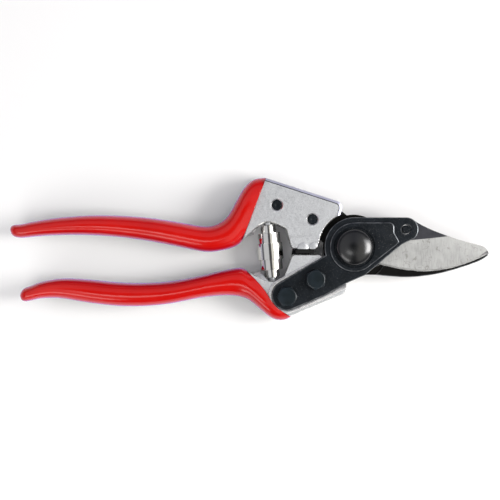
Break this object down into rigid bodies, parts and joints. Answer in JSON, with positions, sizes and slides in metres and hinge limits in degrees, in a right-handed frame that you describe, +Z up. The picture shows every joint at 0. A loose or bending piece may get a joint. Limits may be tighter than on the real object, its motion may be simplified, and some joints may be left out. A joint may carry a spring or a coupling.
{
  "type": "pruning shears",
  "caption": "One-hand bypass pruning shears with vinyl-sleeved forged handles, a curved blade on a bolted carrier plate, a hooked counter blade, a volute spring and a safety catch.",
  "frame": {"origin": "on the pivot axis, where the flat back of the pivot nut meets the surface the shears lie on", "axes": "+X from the pivot towards the blade tips, +Y towards the upper handle's side, +Z up from the resting surface along the pivot, towards the bolt's dome"},
  "size_m": [0.2107, 0.0628, 0.0204],
  "materials": {
    "red_vinyl": "smooth glossy dipped vinyl",
    "forged_aluminium": "satin, fine shot-blasted grain",
    "blackened_steel": "blue-black oxide, satin",
    "black_enamel": "glossy black",
    "ground_steel": "ground, with a coated spine",
    "bright_steel": "turned",
    "spring_chrome": "mirror chrome",
    "bronze": "oiled bearing bronze",
    "black_rubber": "matt"
  },
  "bodies": {
    "upper_half": {"upper_handle": "forged_aluminium", "upper_grip": "red_vinyl", "counter_blade": "blackened_steel", "counter_blade_rivet_rear": "blackened_steel", "counter_blade_rivet_front": "blackened_steel", "pivot_bolt": "black_enamel", "pivot_bush": "bronze", "blade_washer": "bronze", "pivot_nut": "bright_steel", "nut_lock_segment": "bright_steel", "lock_segment_screw": "bright_steel", "volute_spring": "spring_chrome", "rubber_buffer": "black_rubber", "catch_screw": "bright_steel", "catch_wave_washer": "bright_steel"},
    "lower_half": {"lower_handle": "forged_aluminium", "lower_grip": "red_vinyl", "cutting_blade": "ground_steel", "blade_plate": "blackened_steel", "blade_pin": "blackened_steel", "plate_bolt_tail": "blackened_steel", "plate_bolt_middle": "blackened_steel", "plate_nut_tail": "blackened_steel", "plate_nut_middle": "blackened_steel", "catch_stud": "bright_steel"},
    "catch": {"catch_lever": "black_enamel"}
  },
  "joints": [
    {"name": "main_pivot", "type": "hinge", "parent": "upper_half", "child": "lower_half", "pos_m": [0, 0, 0], "axis": [0, 0, 1], "range_deg": [0, 28], "stiffness_Nm_per_rad": 0.5, "springref_deg": 51.57, "deforming": ["volute_spring"]},
    {"name": "catch_pivot", "type": "hinge", "parent": "upper_half", "child": "catch", "pos_m": [-0.0212, 0.0056, 0], "axis": [0, 0, 1], "range_deg": [0, 24]}
  ]
}
